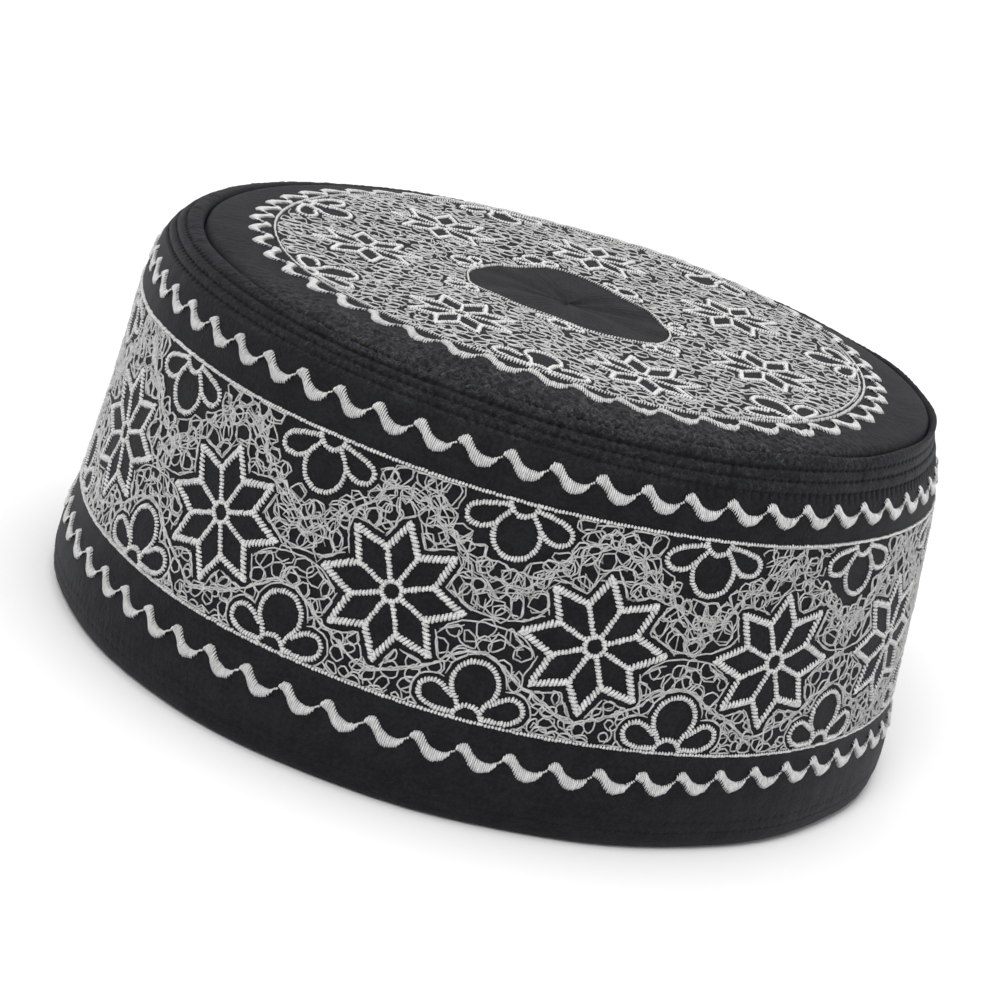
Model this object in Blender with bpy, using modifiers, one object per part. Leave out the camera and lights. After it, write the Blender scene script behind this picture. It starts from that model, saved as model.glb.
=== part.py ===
"""Round brimless cap (kufi): a padded side band and a flat crown panel sewn together at a groove.

Units are metres with +Z up. The cap stands on its hem: the origin is on the surface it stands on,
on the axis of the hem. The front of the cap faces -Y.
"""
import math

import bpy
from mathutils import Vector

MM = 0.001

# Turned shape
SEGMENTS = 84              # steps of every turned piece, six to each of the fourteen pattern repeats
SPAN_STEPS = 2             # steps drawn between two stations of the wall

# Hem, turned up inside
HEM_FLAT_INNER = 91.2 * MM     # flat ring that the cap stands on
HEM_FLAT_OUTER = 93.0 * MM
HEM_EDGE_OUTER = 95.7 * MM     # outer radius where the rounded bottom edge meets the hem's bulge
HEM_EDGE_RISE = 3.0 * MM       # height of the rounded bottom edge outside
HEM_EDGE_STEPS = 3
HEM_INNER_ROUND = (0.5 * MM, 1.2 * MM)     # width and height of the small rounding inside

# Seam groove between band and crown
SEAM_RADIUS = 81.1 * MM
SEAM_GAP = 0.3 * MM            # clear space between the two turned-down edges
LIP_BOTTOM = 80.4 * MM         # height of the lower end of both turned-down edges
LIP_THICKNESS = 1.9 * MM
LIP_TOP = 82.2 * MM            # where the straight turned-down edges end and the roundings start

# Quilted shoulder
STITCH_ROWS = (2.8 * MM, 5.2 * MM, 7.6 * MM)     # how far each row is below the top of the shoulder
ROW_DEPTH = 0.3 * MM           # how deep each row of stitches draws the padding in
ROW_FADE = 2.0 * MM            # below the last row the wall is plain again after this distance
SHOULDER_STEPS = 8             # steps of the smooth line that the rows are measured along

CROWN_THICKNESS = 1.8 * MM
CROWN_INNER_CORNER = 81.7 * MM     # height where the crown's turned-down edge meets its underside

# Soft form of the standing cap
BAND_LEAN = -1.2 * MM          # both sides of the band lean to -X, the front and back do not
LEAN_SPAN = (41.0 * MM, 79.0 * MM)       # heights between which the lean sets in
CROWN_SHIFT = 0.5 * MM         # the crown lies a little to +X
SHIFT_SPAN = (70.0 * MM, 79.0 * MM)
SEAM_SPAN = (82.5 * MM, 87.5 * MM)       # radii between which the crown's shift gives way to the lean
HEM_OVAL = 1.3 * MM            # the hem is longer along one diagonal than along the other
OVAL_SPAN = (4.0 * MM, 41.0 * MM)        # heights between which the oval fades out
HEM_SETTLE = 0.9 * MM          # the lowest part of the hem is pressed together by this much
SETTLE_SPAN = (0.0 * MM, 8.0 * MM)
SAG = 2.7 * MM                 # the shoulder hangs lower at the back right
SAG_ANGLE = 60.0               # degrees from +X where the sag is deepest
SAG_RADII = (66.0 * MM, 84.5 * MM)
SAG_HEIGHTS = (55.0 * MM, 83.0 * MM)
SAG_FOCUS = 1.2                # higher keeps the sag closer to its deepest place
SEAM_BULGE = 2.0 * MM          # the seam lies further out at the right than the turned shape has it
BULGE_ANGLE = 5.0              # degrees from +X where it lies furthest out
BULGE_WIDTH = 24.0             # degrees to either side over which that fades
BULGE_INNER = (72.0 * MM, 80.9 * MM)     # radii between which the bulge sets in on the crown
BULGE_OUTER = (82.0 * MM, 88.5 * MM)     # radii between which it dies out on the shoulder
BULGE_HEIGHTS = (70.0 * MM, 79.0 * MM)
RIDGE_HEIGHT = 2.0 * MM        # soft swelling of the crown towards the front
RIDGE_CENTRE = (-12.0 * MM, -47.0 * MM)
RIDGE_WIDTH = (15.0 * MM, 38.0 * MM)
RIDGE_FADE = (70.0 * MM, 81.0 * MM)      # radii between which the swelling dies out

CLOTH_COLOUR = (0.020, 0.021, 0.024, 1.0)
CLOTH_ROUGHNESS = 0.85

# Wall of the band from the hem's bulge up to the first row of shoulder stitches, in mm
#        height  outer radius  wall thickness
WALL = [
    (6.6,  96.2, 4.0),     # bulge of the hem
    (12.0, 95.9, 3.7),     # top of the turned hem
    (16.9, 94.9, 2.5),
    (22.6, 94.0, 2.4),     # lower border line
    (43.2, 92.2, 2.4),     # middle of the pattern
    (67.9, 90.1, 2.4),     # upper border line
    (73.0, 89.1, 2.6),
]

# Outer face of the quilted shoulder, from the last station of the wall up to the groove, in mm
#        height  outer radius
SHOULDER = [
    (73.0, 89.1),
    (78.0, 87.9),
    (81.7, 86.2),
    (83.5, 84.6),
]

# Rounded edge of the band where it dips into the groove, in mm
#        height  radius
GROOVE_ROUND = [
    (83.4,  81.8),
    (84.0,  83.0),
]

# Inner face under the shoulder, between the wall and the turned-down edge, in mm
#        height  radius
UNDER_SHOULDER = (77.4, 84.9)

# Top face of the crown, from its middle to the edge, in mm
#        radius  height
CROWN_FACE = [
    (0.0,  85.0),
    (11.0, 85.1),
    (22.1, 85.2),          # edge of the plain middle
    (36.0, 85.5),
    (50.0, 85.6),
    (60.0, 85.6),
    (67.2, 85.5),          # border line of the crown's pattern
    (73.0, 85.2),
    (77.5, 84.9),
    (79.6, 84.3),
    (80.5, 83.4),
]


def clear_scene():
    for obj in list(bpy.data.objects):
        bpy.data.objects.remove(obj, do_unlink=True)


def make_collection(name):
    collection = bpy.data.collections.new(name)
    bpy.context.scene.collection.children.link(collection)
    return collection


def make_cloth(name):
    material = bpy.data.materials.new(name)
    material.use_nodes = True
    shader = material.node_tree.nodes["Principled BSDF"]
    shader.inputs["Base Color"].default_value = CLOTH_COLOUR
    shader.inputs["Roughness"].default_value = CLOTH_ROUGHNESS
    shader.inputs["Metallic"].default_value = 0.0
    return material


def smooth_step(low, high, value):
    """0 below low, 1 above high, and a smooth rise between them."""
    t = min(max((value - low) / (high - low), 0.0), 1.0)
    return t * t * (3.0 - 2.0 * t)


def through_points(points, steps):
    """A smooth line through the points, with the given number of steps in each span."""
    line = []
    for i in range(len(points) - 1):
        before = points[max(i - 1, 0)]
        start, end = points[i], points[i + 1]
        after = points[min(i + 2, len(points) - 1)]
        for k in range(steps):
            t = k / steps
            line.append(tuple(
                0.5 * (2 * b + (c - a) * t
                       + (2 * a - 5 * b + 4 * c - d) * t ** 2
                       + (3 * b - a - 3 * c + d) * t ** 3)
                for a, b, c, d in zip(before, start, end, after)))
    line.append(points[-1])
    return line


def point_at(line, distance):
    """The point at this distance along a line, and the direction of the line there."""
    for start, end in zip(line, line[1:]):
        step = (end - start).length
        if distance <= step:
            break
        distance -= step
    along = (end - start).normalized()
    return start + along * min(distance, step), along


def quilted_shoulder():
    """Outer face of the shoulder as (radius, height), top to bottom, drawn in at each stitch row."""
    stations = [(radius * MM, height * MM) for height, radius in reversed(SHOULDER)]
    base = [Vector(point) for point in through_points(stations, SHOULDER_STEPS)]
    places = [(0.0, 0.0)]
    for row in STITCH_ROWS:
        places.append(((places[-1][0] + row) / 2.0, 0.0))
        places.append((row, ROW_DEPTH))
    places.append((STITCH_ROWS[-1] + ROW_FADE, 0.0))
    face = []
    for distance, depth in places:
        point, along = point_at(base, distance)
        outward = Vector((-along.y, along.x))
        face.append(tuple(point - outward * depth))
    face.append(tuple(base[-1]))
    return face


def band_section():
    """Closed section of the side band as (radius, height): down the outside, up the inside."""
    lip_outer = SEAM_RADIUS + SEAM_GAP / 2 + LIP_THICKNESS
    lip_inner = SEAM_RADIUS + SEAM_GAP / 2
    rows = through_points([(outer * MM, height * MM, (outer - wall) * MM)
                           for height, outer, wall in WALL], SPAN_STEPS)

    groove = [(lip_inner, LIP_TOP)] + [(radius * MM, height * MM) for height, radius in GROOVE_ROUND]
    shoulder = quilted_shoulder()
    outside = [(outer, height) for outer, height, _ in reversed(rows[:-1])]
    edge = []
    for k in range(1, HEM_EDGE_STEPS + 1):
        angle = math.radians(90.0 * k / HEM_EDGE_STEPS)
        edge.append((HEM_FLAT_OUTER + (HEM_EDGE_OUTER - HEM_FLAT_OUTER) * math.cos(angle),
                     HEM_EDGE_RISE * (1.0 - math.sin(angle))))
    bottom = [(HEM_FLAT_INNER, 0.0), (HEM_FLAT_INNER - HEM_INNER_ROUND[0], HEM_INNER_ROUND[1])]
    inside = [(inner, height) for _, height, inner in rows[::SPAN_STEPS]]
    lip = [(UNDER_SHOULDER[1] * MM, UNDER_SHOULDER[0] * MM), (lip_outer, LIP_BOTTOM), (lip_inner, LIP_BOTTOM)]
    return groove + shoulder + outside + edge + bottom + inside + lip


def crown_section():
    """Open section of the crown as (radius, height): out along the top, round the edge, back below."""
    face = [(radius * MM, height * MM) for radius, height in CROWN_FACE]
    lip_outer = SEAM_RADIUS - SEAM_GAP / 2
    lip_inner = lip_outer - LIP_THICKNESS
    edge = [(lip_outer, LIP_TOP), (lip_outer, LIP_BOTTOM),
            (lip_inner, LIP_BOTTOM), (lip_inner, CROWN_INNER_CORNER)]
    below = [(radius, height - CROWN_THICKNESS) for radius, height in reversed(face[:-1:2])]
    return face + edge + below


def seam_bulge(angle, radius, height):
    """How far outward the seam and the cloth beside it lie from the turned shape."""
    aside = math.degrees(angle) - BULGE_ANGLE
    aside -= 360.0 * round(aside / 360.0)
    near = math.exp(-0.5 * (aside / BULGE_WIDTH) ** 2)
    beside = smooth_step(*BULGE_INNER, radius) * (1.0 - smooth_step(*BULGE_OUTER, radius))
    return SEAM_BULGE * near * beside * smooth_step(*BULGE_HEIGHTS, height)


def soft_form(point):
    """Moves one point of the true turned shape to where the soft cap has it."""
    angle = math.atan2(point.y, point.x)
    low = 1.0 - smooth_step(*OVAL_SPAN, point.z)
    radius = math.hypot(point.x, point.y) + HEM_OVAL * low * math.sin(2.0 * angle)
    band = smooth_step(*SEAM_SPAN, radius)
    lean = BAND_LEAN * smooth_step(*LEAN_SPAN, point.z) * math.cos(angle) ** 4
    shift = CROWN_SHIFT * smooth_step(*SHIFT_SPAN, point.z)
    reach = radius + seam_bulge(angle, radius, point.z)
    x = reach * math.cos(angle) + lean * band + shift * (1.0 - band)
    y = reach * math.sin(angle)

    near = (0.5 + 0.5 * math.cos(angle - math.radians(SAG_ANGLE))) ** SAG_FOCUS
    sag = SAG * near * smooth_step(*SAG_RADII, radius) * smooth_step(*SAG_HEIGHTS, point.z)
    settle = HEM_SETTLE * smooth_step(*SETTLE_SPAN, point.z)
    across = (x - RIDGE_CENTRE[0]) / RIDGE_WIDTH[0]
    along = (y - RIDGE_CENTRE[1]) / RIDGE_WIDTH[1]
    swell = math.exp(-0.5 * (across ** 2 + along ** 2)) * (1.0 - smooth_step(*RIDGE_FADE, radius))
    return Vector((x, y, point.z - sag - settle + RIDGE_HEIGHT * swell))


def turned(name, section, closed, collection, material):
    """Turns a section round the Z axis with a Screw modifier, then gives the result its soft form."""
    guide = bpy.data.meshes.new(name + "_section")
    edges = [(i, i + 1) for i in range(len(section) - 1)]
    if closed:
        edges.append((len(section) - 1, 0))
    guide.from_pydata([(radius, 0.0, height) for radius, height in section], edges, [])
    profile = bpy.data.objects.new(name + "_section", guide)
    collection.objects.link(profile)

    screw = profile.modifiers.new("turn", "SCREW")
    screw.axis = "Z"
    screw.angle = math.tau
    screw.steps = SEGMENTS
    screw.render_steps = SEGMENTS
    screw.use_merge_vertices = True
    screw.merge_threshold = 0.00001

    graph = bpy.context.evaluated_depsgraph_get()
    mesh = bpy.data.meshes.new_from_object(profile.evaluated_get(graph), depsgraph=graph)
    bpy.data.objects.remove(profile, do_unlink=True)
    for vertex in mesh.vertices:
        vertex.co = soft_form(vertex.co)

    mesh.name = name
    mesh.materials.clear()
    mesh.materials.append(material)
    mesh.shade_smooth()
    mesh.set_sharp_from_angle(angle=math.radians(50.0))
    obj = bpy.data.objects.new(name, mesh)
    collection.objects.link(obj)
    return obj


def main():
    clear_scene()
    cap = make_collection("kufi")
    turned("side_band", band_section(), True, cap, make_cloth("band_cloth"))
    turned("crown_panel", crown_section(), False, cap, make_cloth("crown_cloth"))


main()
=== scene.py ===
import math
import time
import bpy
import numpy as np
from mathutils import Matrix


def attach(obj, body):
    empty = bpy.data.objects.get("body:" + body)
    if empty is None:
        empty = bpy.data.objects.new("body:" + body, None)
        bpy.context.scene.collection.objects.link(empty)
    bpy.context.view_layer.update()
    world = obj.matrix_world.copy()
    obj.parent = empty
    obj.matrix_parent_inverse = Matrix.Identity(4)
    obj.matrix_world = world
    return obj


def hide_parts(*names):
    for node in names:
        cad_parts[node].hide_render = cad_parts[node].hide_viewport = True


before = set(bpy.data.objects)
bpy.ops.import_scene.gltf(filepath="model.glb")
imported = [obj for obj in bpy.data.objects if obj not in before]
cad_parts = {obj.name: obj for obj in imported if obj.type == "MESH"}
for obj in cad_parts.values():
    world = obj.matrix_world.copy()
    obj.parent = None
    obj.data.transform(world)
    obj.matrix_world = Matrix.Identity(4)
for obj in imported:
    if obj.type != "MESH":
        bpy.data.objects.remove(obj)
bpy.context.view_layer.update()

started = time.time()
mm = 0.001
turn = 2.0 * math.pi
patternRadius = 94.0     # one radian round the band is this many mm of pattern


def report(text):
    print("[%5.1f s] %s" % (time.time() - started, text))


# numbers of the cap's shape, in mm
form = {
    "wall": [(96.2, 6.6), (95.9, 12.0), (94.9, 16.9), (94.0, 22.6), (92.2, 43.2), (90.1, 67.9), (89.1, 73.0)],
    "shoulder": [(89.1, 73.0), (87.9, 78.0), (86.2, 81.7), (84.7, 83.7), (83.3, 84.4), (82.2, 84.4),
                 (81.5, 83.8), (81.25, 82.8), (81.25, 80.4)],
    "hemRound": (93.0, 2.7, 3.0),        # inner radius, width and height of the rounded bottom edge
    "inside": [(83.15, 80.4), (84.9, 77.4), (86.5, 73.0), (87.7, 67.9), (89.8, 43.2), (91.6, 22.6),
               (92.4, 16.9), (92.2, 12.0), (92.2, 6.6), (90.7, 1.2), (91.2, 0.0)],
    "borders": (22.4, 67.8), "grooveRadius": 82.6,     # heights of the two border lines on the wall
    "crown": [(0, 85.0), (11, 85.1), (22.1, 85.2), (36, 85.5), (50, 85.6), (60, 85.6), (67.2, 85.5),
              (73, 85.2), (77.5, 85.0), (79.4, 84.8), (80.4, 84.3), (80.85, 83.5), (80.95, 82.2)],
    "underside": [(80.95, 80.4), (79.05, 80.4), (79.05, 81.7), (73, 83.3), (60, 83.8), (50, 83.8), (36, 83.7),
                  (22.1, 83.4), (11, 83.3), (0.6, 83.2)],
    "lean": -1.2, "leanSpan": (41.0, 79.0), "crownShift": 0.5, "seamSpan": (82.5, 87.5),
    "oval": 1.3, "ovalSpan": (4.0, 41.0),
    "settle": 0.9, "settleSpan": (0.0, 8.0),
    "sag": 2.7, "sagAngle": 60.0, "sagRadii": (66.0, 84.5), "sagHeights": (55.0, 83.0), "sagFocus": 1.2,
    "bulge": 2.0, "bulgeAt": (5.0, 24.0), "bulgeInner": (72.0, 80.9), "bulgeOuter": (81.6, 86.0),
    "bulgeHeights": (70.0, 79.0),
    "swell": 2.0, "swellAt": (-12.0, -47.0), "swellWide": (15.0, 38.0), "swellFade": (70.0, 81.0),
}


def smooth(low, high, value):
    t = np.clip((value - low) / (high - low), 0.0, 1.0)
    return t * t * (3.0 - 2.0 * t)


# turned shape to soft cap, all in mm
def softForm(r, z, angle):
    f = form
    r = r + f["oval"] * (1.0 - smooth(*f["ovalSpan"], z)) * np.sin(2.0 * angle)
    wall = smooth(*f["seamSpan"], r)
    aside = np.mod(np.degrees(angle) - f["bulgeAt"][0] + 180.0, 360.0) - 180.0
    bulge = f["bulge"] * np.exp(-0.5 * (aside / f["bulgeAt"][1]) ** 2) * smooth(*f["bulgeHeights"], z)
    reach = r + bulge * smooth(*f["bulgeInner"], r) * (1.0 - smooth(*f["bulgeOuter"], r))
    x = reach * np.cos(angle) + f["lean"] * smooth(*f["leanSpan"], z) * wall * np.cos(angle) ** 4
    x = x + f["crownShift"] * smooth(70.0, 79.0, z) * (1.0 - wall)
    y = reach * np.sin(angle)
    near = (0.5 + 0.5 * np.cos(angle - math.radians(f["sagAngle"]))) ** f["sagFocus"]
    sag = f["sag"] * near * smooth(*f["sagRadii"], r) * smooth(*f["sagHeights"], z)
    settle = f["settle"] * smooth(*f["settleSpan"], z)
    across = (x - f["swellAt"][0]) / f["swellWide"][0]
    along = (y - f["swellAt"][1]) / f["swellWide"][1]
    swell = np.exp(-0.5 * (across ** 2 + along ** 2)) * (1.0 - smooth(*f["swellFade"], r))
    return np.stack([x, y, z - sag - settle + f["swell"] * swell], -1)


# smooth line through the points
def curveThrough(points, steps):
    ext = np.array([points[0], *points, points[-1]], float)
    t = np.linspace(0, 1, steps, endpoint=False)[:, None]
    parts = []
    for i in range(len(ext) - 3):
        a, b, c, d = ext[i:i + 4]
        parts.append(0.5 * (2 * b + (c - a) * t + (2 * a - 5 * b + 4 * c - d) * t ** 2
                            + (3 * b - a - 3 * c + d) * t ** 3))
    return np.vstack(parts + [ext[-1:]])


# how far along a line each of its points lies
def lengthAlong(line):
    return np.concatenate([[0], np.cumsum(np.hypot(*np.diff(line, axis=0).T))])


# the way to the left of each direction
def leftOf(ways):
    return np.stack([-ways[:, 1], ways[:, 0]], -1)


def polar(radius, angle):
    return np.stack([radius * np.cos(angle), radius * np.sin(angle)], -1)


# outer line of the band from the hem up into the groove, tabled by distance along it
wallLine = curveThrough(form["wall"], 40)
shoulderLine = curveThrough(form["shoulder"], 40)
hemIn, hemWide, hemHigh = form["hemRound"]
hemTurn = np.radians(np.linspace(90, 0, 30))
hemLine = np.stack([hemIn + hemWide * np.cos(hemTurn), hemHigh * (1 - np.sin(hemTurn))], -1)
outer = np.vstack([hemLine, wallLine, shoulderLine[1:]])
outerS = lengthAlong(outer)
wallEnd = len(hemLine) + len(wallLine)
lowLineS, highHeight = form["borders"]
outerS += lowLineS - np.interp(lowLineS, outer[:wallEnd, 1], outerS[:wallEnd])
tabS = np.arange(outerS[0], outerS[-1], 0.1)
tabR, tabZ = (np.interp(tabS, outerS, column) for column in outer.T)
soft = np.ones(9) / 9.0
tanR, tanZ = (np.convolve(np.pad(np.gradient(t), 4, mode="edge"), soft, "valid") for t in (tabR, tabZ))
tanLen = np.hypot(tanR, tanZ)
tabNR, tabNZ = tanZ / tanLen, -tanR / tanLen
grooveS = float(np.interp(-form["grooveRadius"], -shoulderLine[:, 0], outerS[wallEnd - 1:]))
highLineS = float(np.interp(highHeight, outer[:wallEnd, 1], outerS[:wallEnd]))
crownR, crownZ = curveThrough(form["crown"], 20).T


# soft noise that closes round the cap
def ripple(angle, s, seed, waves, low, high, acrossScale):
    rng = np.random.default_rng(seed)
    total = 0.0
    for _ in range(waves):
        n = rng.integers(low, high + 1)
        total = total + np.cos(n * angle + rng.normal(0, acrossScale) * s + rng.uniform(0, turn))
    return total / math.sqrt(waves / 2.0)


# value from a short table of (degrees, value) that closes round the cap
def roundTable(table, angle):
    degrees = np.mod(np.degrees(angle), 360.0)
    known = np.array(sorted(table), float)
    known = np.vstack([known[-1:] - (360, 0), known, known[:1] + (360, 0)])
    line = curveThrough(known, 12)
    return np.interp(degrees, line[:, 0], line[:, 1])


# black machine stitches. Rows: mm below the groove, more at the right, depth
quilting = {
    "rows": [(2.5, 1.15, 0.42), (4.6, 1.5, 0.30), (6.7, 1.9, 0.26)],
    "perTurn": 266, "dimple": 0.45, "width": 0.40,
    "faintRows": [("high", 2.2), ("hem", 4.6), ("hem", 7.4), ("hem", 10.2)],
    "faintDepth": 0.07,
    "pleats": 0.30, "pleatsRound": (240, 400),
    "folds": [(298.0, 2.6, 8.6, 0.45), (267.4, 2.0, 6.5, 0.30), (273.6, 2.5, 7.5, 0.28),
              (322.0, 3.0, 6.0, 0.20), (236.0, 1.5, 5.0, 0.25)],  # degrees, from, to, depth
}


# 0 at the left of the front, 1 at the right
def drift(angle):
    d = np.mod(np.degrees(angle) - 180.0, 360.0) + 180.0
    return smooth(245.0, 302.0, d) - smooth(345.0, 470.0, d)


# 1 where the cloth is crumpled from being pressed, at the front
def crumpled(angle):
    d = np.mod(np.degrees(angle), 360.0)
    return smooth(208.0, 240.0, d) * (1.0 - smooth(302.0, 338.0, d))


# (mm along the wall, how much it drifts, depth, pull of the single stitches)
def rowList():
    rows = [(grooveS - below, grow, depth, 1.0) for below, grow, depth in quilting["rows"]]
    for place, d in quilting["faintRows"]:
        rows.append((highLineS + d if place == "high" else d, 0.0, quilting["faintDepth"], 0.4))
    return rows


stitchRows = rowList()


# how many mm the cloth stands out, how much painted shade darkens its stitch holes, rows, folds, pleat
# valleys and groove, and how glossy it is (the gloss mask also places painted crinkle glints)
def bandRelief(angle, s):
    out = 0.16 * ripple(angle, s, 3, 7, 3, 17, 0.05)
    out = out + 0.02 * ripple(angle, s, 5, 8, 40, 110, 0.5)
    field = smooth(lowLineS - 1, lowLineS + 1, s) * (1 - smooth(highLineS - 1, highLineS + 1, s))
    out = out * (1.0 - 0.35 * field)
    front = crumpled(angle)
    side = drift(angle)
    crease_shade = 0.0 * out
    for k, (base, grow, depth, pull) in enumerate(stitchRows):
        groove = np.exp(-((s - base + grow * side) / quilting["width"]) ** 2)
        hole = (0.5 + 0.5 * np.cos(quilting["perTurn"] * angle + 1.7 * k)) ** 3
        depth = depth * (0.6 + 0.6 * front) if k == 0 else depth
        out = out - groove * (depth * (0.85 + 0.15 * ripple(angle, 0 * s, 20 + k, 6, 20, 90, 0.0))
                              + quilting["dimple"] * pull * hole)
        # painted shade: the stitch rows and their holes are darkened in the colour, more at the front
        dark = 0.30 + 0.60 * front if k == 0 else 0.25
        crease_shade = crease_shade + pull * groove * (dark + 0.85 * hole)
    for degrees, start, end, depth in quilting["folds"]:
        aside = (angle - math.radians(degrees)) * patternRadius + 0.12 * (grooveS - s - start)
        fold = np.exp(-(aside / 0.45) ** 2) * smooth(start - 0.8, start + 0.4, grooveS - s)
        fold = fold * (1.0 - smooth(end - 0.5, end + 1.0, grooveS - s))
        out = out - depth * fold
        # painted shade along the folds
        crease_shade = crease_shade + 0.8 * fold
    low = stitchRows[0][0] - stitchRows[0][1] * side
    across = np.clip((s - low) / (grooveS + 1.1 - low), 0, 1)
    strip = np.clip(np.sin(math.pi * across), 0, 1) ** 0.6 * (0.20 + 0.80 * front)
    pleat = ripple(angle, s, 31, 12, *quilting["pleatsRound"], 0.55)
    knots = ripple(angle, s, 37, 14, 150, 330, 2.2)
    out = out + strip * quilting["pleats"] * (0.7 * pleat + 0.5 * knots)
    # painted shade in the pleat valleys and inside the groove
    crease_shade = crease_shade + strip * 0.35 * np.clip(-pleat - 0.3, 0, 1.2) + smooth(grooveS + 1.3, grooveS + 2.2, s)
    between = smooth(low - 6.5, low - 4.5, s) * (1.0 - smooth(low - 0.4, low + 0.4, s))
    return out, np.clip(crease_shade, 0, 1), np.clip(strip + 0.5 * between * (0.35 + 0.65 * front), 0, 1)


# u is mm round the band, v is mm along its outer line
def bandPlace(u, v, lift):
    angle = u / patternRadius
    lift = lift + bandRelief(angle, v)[0]
    r = np.interp(v, tabS, tabR) + lift * np.interp(v, tabS, tabNR)
    z = np.interp(v, tabS, tabZ) + lift * np.interp(v, tabS, tabNZ)
    return softForm(r, z, angle) * mm


middle = {
    "edge": [(0, 21.8), (25, 20.2), (50, 19.3), (70, 19.7), (92, 22.2), (110, 21.6), (135, 20.0),
             (160, 21.2), (180, 22.8), (200, 24.3), (220, 26.0), (240, 24.5), (258, 21.5), (275, 22.4),
             (295, 24.1), (315, 26.0), (335, 25.0), (350, 23.0)],  # degrees and mm of the plain middle
    "darts": 62, "dartDepth": 0.06,
    "dip": 1.1, "dipSize": (9.0, 4.0),
    "crumple": 0.21,
}


def middleDip(x, y):
    wide, deep = middle["dipSize"]
    return middle["dip"] * np.exp(-0.5 * ((x / wide) ** 2 + (y / deep) ** 2))


def crownRelief(x, y):
    r = np.hypot(x, y)
    angle = np.arctan2(y, x)
    out = 0.13 * ripple(angle, r, 43, 7, 2, 9, 0.09)
    inner = 1.0 - smooth(19.0, 25.5, r)
    bend = 1.6 * np.sin(5 * angle) + 1.8 * ripple(angle, 0 * r, 47, 3, 2, 9, 0.0)
    fan = np.clip(np.cos(middle["darts"] * angle + bend), 0, 1) ** 2
    out = out - inner * smooth(3.0, 11.0, r) * middle["dartDepth"] * fan
    out = out - middleDip(x, y)
    edge = smooth(69.0, 74.0, r) * (0.10 + 0.90 * crumpled(angle))
    return out + middle["crumple"] * edge * ripple(angle, r, 53, 18, 110, 300, 1.6)


# x and y are mm on the crown, from its middle
def crownPlace(x, y, lift):
    r = np.hypot(x, y)
    z = np.interp(r, crownR, crownZ) + lift + crownRelief(x, y)
    return softForm(r, z, np.arctan2(y, x)) * mm


# the same for stitching, which follows the pattern's own oval and pulled ring
def crownSewn(x, y, lift):
    angle = np.arctan2(y, x)
    c, s = crownPattern["oval"]
    k = crownPattern["grow"] + c * np.cos(2 * angle) + s * np.sin(2 * angle)
    r = np.hypot(x, y)
    k = k + roundTable(crownPattern["pull"], angle) * smooth(40.0, 67.0, r) / np.maximum(r, 1.0)
    return crownPlace(x * k, y * k, lift)


def added(name, data):
    obj = bpy.data.objects.new(name, data)
    bpy.context.scene.collection.objects.link(obj)
    return obj


# piece of the one soft body, with uv in mm for each point. Wrap is the length at which uv starts again
def newPiece(name, points, quads, tris, uv, material, node=None, wrap=None):
    mesh = bpy.data.meshes.new(name)
    mesh.vertices.add(len(points))
    mesh.vertices.foreach_set("co", np.ascontiguousarray(points, dtype=np.float32).ravel())
    loops = np.concatenate([quads.ravel(), tris.ravel()])
    starts = np.concatenate([np.arange(len(quads)) * 4, quads.size + np.arange(len(tris)) * 3])
    mesh.loops.add(len(loops))
    mesh.loops.foreach_set("vertex_index", loops.astype(np.int32))
    mesh.polygons.add(len(starts))
    mesh.polygons.foreach_set("loop_start", starts.astype(np.int32))
    mesh.update(calc_edges=True)
    corners = uv[loops]
    if wrap:
        u = corners[:, 0].reshape(-1, 4)
        crosses = u.max(1) - u.min(1) > wrap / 2
        u[crosses] += np.where(u[crosses] < u[crosses].max(1, keepdims=True) - wrap / 2, wrap, 0)
    mesh.uv_layers.new(name="mm").data.foreach_set("uv", corners.astype(np.float32).ravel())
    mesh.shade_smooth()
    mesh.materials.append(material)
    obj = added(name, mesh)
    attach(obj, "root")
    if node:
        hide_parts(node)
    report("%s: %d triangles" % (name, len(quads) * 2 + len(tris)))
    return obj


# quads of a grid that closes round its columns
def ringFaces(rows, cols, closeRows):
    here = np.arange(rows * cols).reshape(rows, cols)
    after = np.roll(here, -1, axis=1)
    quads = np.stack([here, after, np.roll(after, -1, axis=0), np.roll(here, -1, axis=0)], -1)
    return (quads if closeRows else quads[:-1]).reshape(-1, 4)


def startMaterial(name):
    material = bpy.data.materials.new(name)
    material.use_nodes = True
    tree = material.node_tree
    return material, tree, tree.nodes["Principled BSDF"]


# an input that is another node's output is linked, any other is set
def addNode(tree, kind, inputs=(), **settings):
    node = tree.nodes.new("ShaderNode" + kind)
    for key, value in settings.items():
        setattr(node, key, value)
    for key, value in dict(inputs).items():
        if isinstance(value, bpy.types.NodeSocket):
            tree.links.new(value, node.inputs[key])
        else:
            node.inputs[key].default_value = value
    return node


def noise(tree, place, scale, detail, rough=0.5, warp=0.0):
    return addNode(tree, "TexNoise", {"Vector": place, "Scale": scale, "Detail": detail, "Roughness": rough,
                                      "Distortion": warp}).outputs["Fac"]


# parallel lines, their distance in mm
def lineTexture(tree, place, distance, warp, detail, detailScale, across="X"):
    return addNode(tree, "TexWave", {"Vector": place, "Scale": 0.314 / distance, "Distortion": warp,
                                     "Detail": detail, "Detail Scale": detailScale},
                   bands_direction=across).outputs["Color"]


def slanted(tree, place, degrees):
    return addNode(tree, "Mapping", {"Vector": place, "Rotation": (0, 0, math.radians(degrees))}).outputs[0]


def mixed(tree, share, a, b, blend="MULTIPLY"):
    return addNode(tree, "Mix", {0: share, 6: a, 7: b}, data_type="RGBA", blend_type=blend).outputs[2]


def shades(tree, value, *stops):
    node = addNode(tree, "ValToRGB", {"Fac": value})
    for element, (position, colour) in zip(node.color_ramp.elements, stops):
        element.position = position
        element.color = colour
    return node.outputs["Color"]


def scaled(tree, value, low, high):
    return addNode(tree, "MapRange", {"Value": value, "To Min": low, "To Max": high}).outputs["Result"]


def painted(tree, name):
    return addNode(tree, "Attribute", attribute_name=name).outputs["Fac"]


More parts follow.
